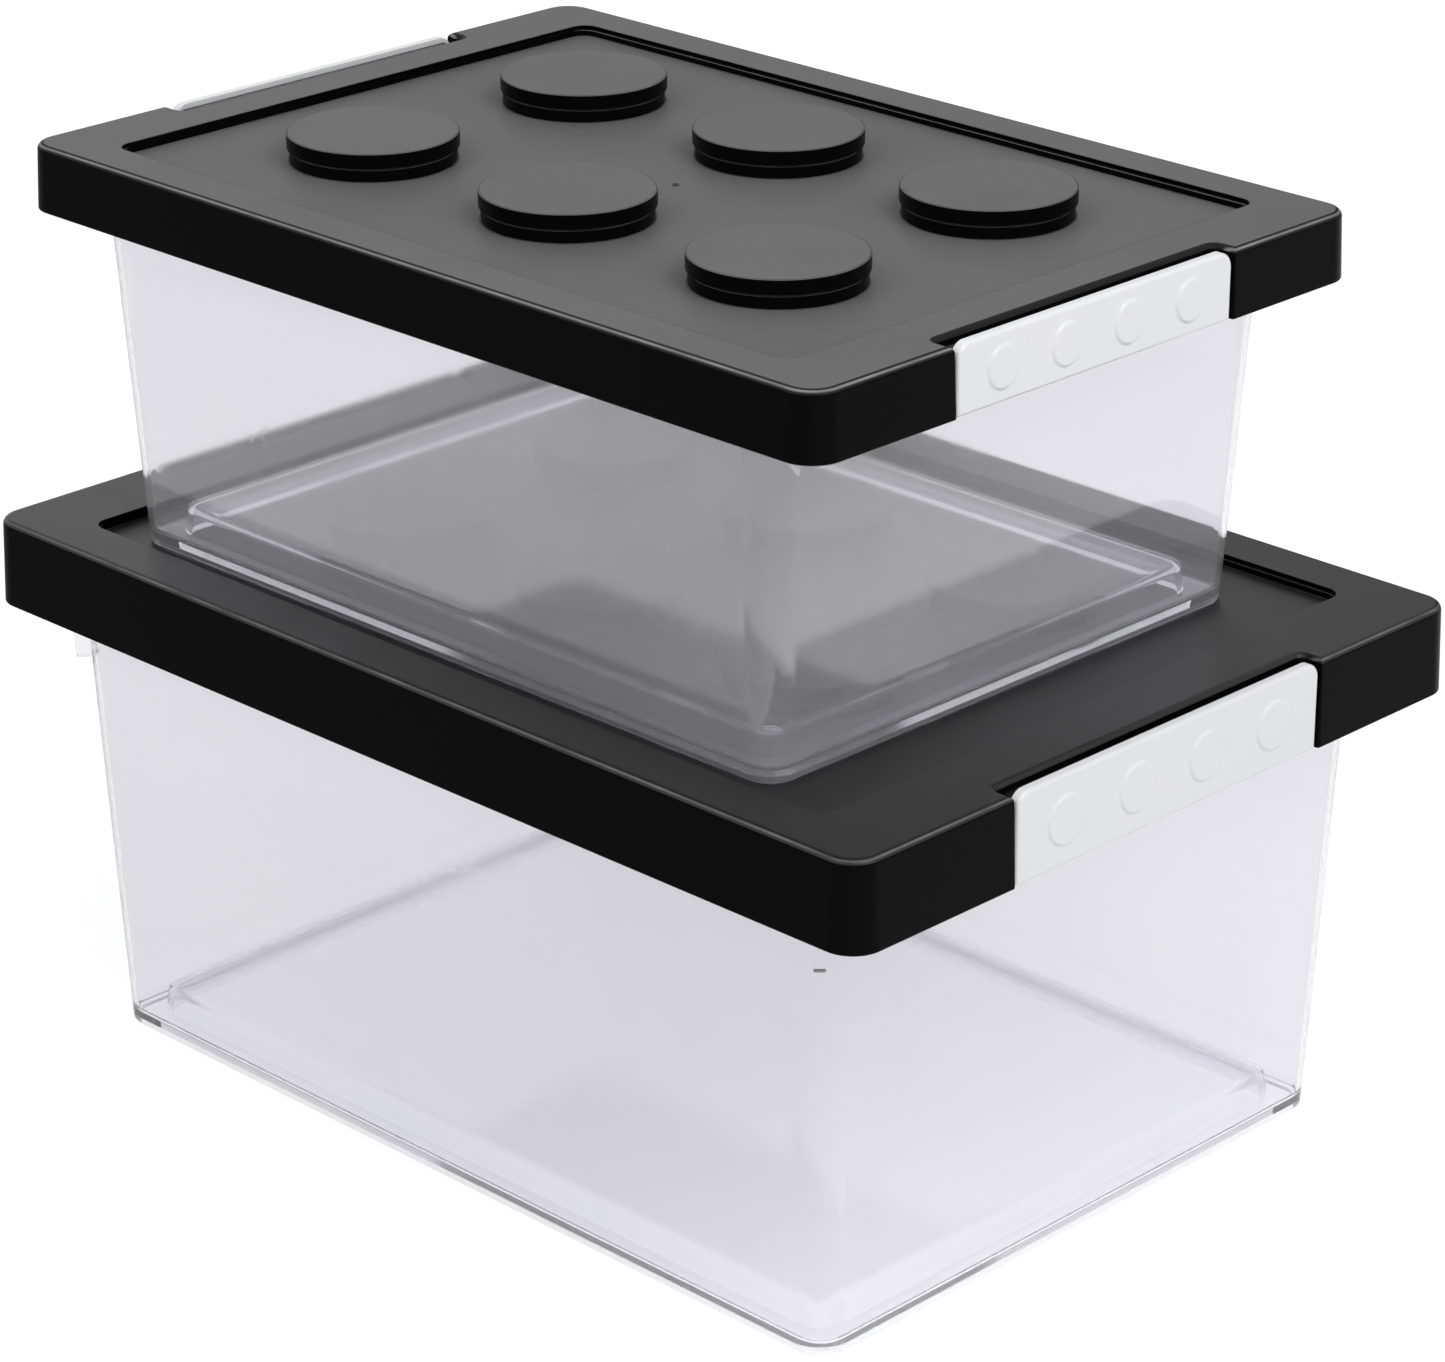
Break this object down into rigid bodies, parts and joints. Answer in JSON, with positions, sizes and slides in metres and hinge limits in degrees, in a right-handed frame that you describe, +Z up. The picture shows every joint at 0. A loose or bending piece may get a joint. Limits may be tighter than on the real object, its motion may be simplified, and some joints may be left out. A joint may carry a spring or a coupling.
{
  "type": "stacking storage box set",
  "caption": "Two stacked clear storage boxes with black studded lids and white end latches, the smaller one standing in the lid recess of the larger.",
  "frame": {"origin": "on the floor, at the middle of the larger box's footprint", "axes": "+X along the long side towards the latch end that faces the picture, +Z up, -Y towards the long side that faces the picture"},
  "size_m": [0.42, 0.299, 0.338],
  "materials": {
    "clear_bin_plastic": "clear, faintly milky, glossy",
    "black_lid_plastic": "satin black",
    "white_latch_plastic": "glossy white"
  },
  "bodies": {
    "lower_bin": {"lower_bin": "clear_bin_plastic"},
    "lower_lid": {"lower_lid": "black_lid_plastic"},
    "lower_latch_right": {"lower_latch_right": "white_latch_plastic"},
    "lower_latch_left": {"lower_latch_left": "white_latch_plastic"},
    "upper_bin": {"upper_bin": "clear_bin_plastic"},
    "upper_lid": {"upper_lid": "black_lid_plastic"},
    "upper_latch_right": {"upper_latch_right": "white_latch_plastic"},
    "upper_latch_left": {"upper_latch_left": "white_latch_plastic"}
  },
  "joints": [
    {"name": "lower_lid_lift", "type": "slide", "parent": "lower_bin", "child": "lower_lid", "axis": [0, 0, 1], "range_m": [0, 0.12]},
    {"name": "upper_box_lift", "type": "slide", "parent": "lower_lid", "child": "upper_bin", "axis": [0, 0, 1], "range_m": [0, 0.12]},
    {"name": "upper_lid_lift", "type": "slide", "parent": "upper_bin", "child": "upper_lid", "axis": [0, 0, 1], "range_m": [0, 0.12]},
    {"name": "lower_latch_right_swing", "type": "hinge", "parent": "lower_bin", "child": "lower_latch_right", "pos_m": [0.2015, 0, 0.1695], "axis": [0, 1, 0], "range_deg": [0, 110]},
    {"name": "lower_latch_left_swing", "type": "hinge", "parent": "lower_bin", "child": "lower_latch_left", "pos_m": [-0.2015, 0, 0.1695], "axis": [0, -1, 0], "range_deg": [0, 110]},
    {"name": "upper_latch_right_swing", "type": "hinge", "parent": "upper_bin", "child": "upper_latch_right", "pos_m": [0.1709, -0.0067, 0.3155], "axis": [0, 1, 0], "range_deg": [0, 110]},
    {"name": "upper_latch_left_swing", "type": "hinge", "parent": "upper_bin", "child": "upper_latch_left", "pos_m": [-0.1861, -0.0067, 0.3155], "axis": [0, -1, 0], "range_deg": [0, 110]}
  ]
}
